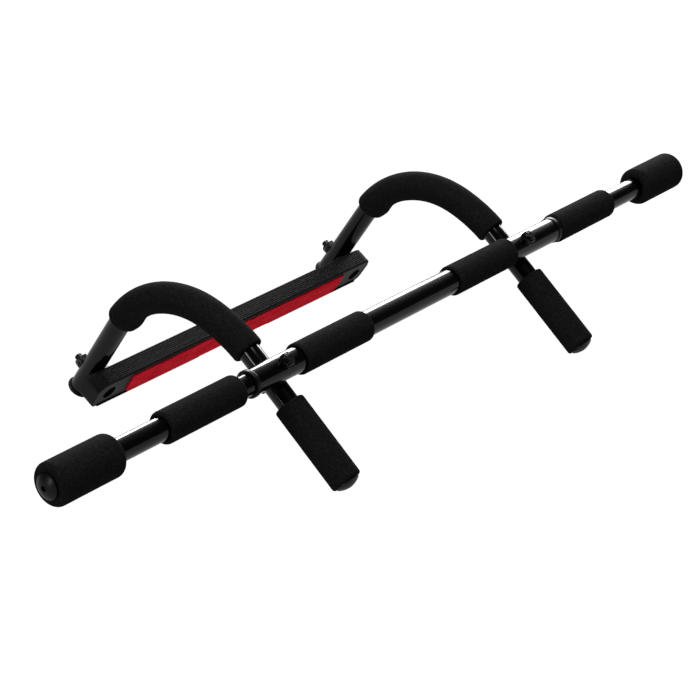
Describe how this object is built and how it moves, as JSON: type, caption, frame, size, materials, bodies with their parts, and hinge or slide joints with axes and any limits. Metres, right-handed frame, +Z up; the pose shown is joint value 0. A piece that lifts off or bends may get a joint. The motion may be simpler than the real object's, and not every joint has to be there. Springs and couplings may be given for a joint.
{
  "type": "pull up bar",
  "caption": "Doorway pull up bar: a long bar on two arched arms that meet a padded rear beam, with foam grips on the bar, arches and handles.",
  "frame": {"origin": "middle of the footprint, on the surface that the handles and the rear beam stand on", "axes": "+X along the main bar, +Y from the handles back to the rear beam, +Z up"},
  "size_m": [1, 0.3608, 0.1556],
  "materials": {
    "gloss_black_paint": "gloss black enamel on steel tube",
    "black_foam": "matt closed-cell foam",
    "black_plastic": "satin moulded plastic",
    "ribbed_rubber": "matt ribbed rubber",
    "red_rubber": "matt finely textured rubber",
    "black_steel": "black oxide, satin",
    "core_steel": "plain steel"
  },
  "bodies": {
    "root": {"centre_tube": "gloss_black_paint", "outer_tube_left": "gloss_black_paint", "outer_tube_right": "gloss_black_paint", "tube_collar_left": "black_plastic", "tube_collar_right": "black_plastic", "arm_left": "gloss_black_paint", "arm_right": "gloss_black_paint", "end_grip_left": "black_foam", "end_grip_right": "black_foam", "outer_grip_left": "black_foam", "outer_grip_right": "black_foam", "inner_grip_left": "black_foam", "inner_grip_right": "black_foam", "handle_grip_left": "black_foam", "handle_grip_right": "black_foam", "arch_grip_left": "black_foam", "arch_grip_right": "black_foam", "end_plug_left": "black_plastic", "end_plug_right": "black_plastic", "handle_plug_left": "black_plastic", "handle_plug_right": "black_plastic", "foot_cap_left": "black_plastic", "foot_cap_right": "black_plastic", "rear_beam": "black_plastic", "beam_core": "core_steel", "wall_pad": "red_rubber", "trim_pad": "ribbed_rubber", "bar_bolts": "black_steel", "bar_nuts": "black_steel", "bar_bolt_washers": "black_steel", "bar_nut_washers": "black_steel", "beam_bolts": "black_steel", "beam_nuts": "black_steel", "beam_bolt_washers": "black_steel", "beam_nut_washers": "black_steel"}
  },
  "joints": []
}
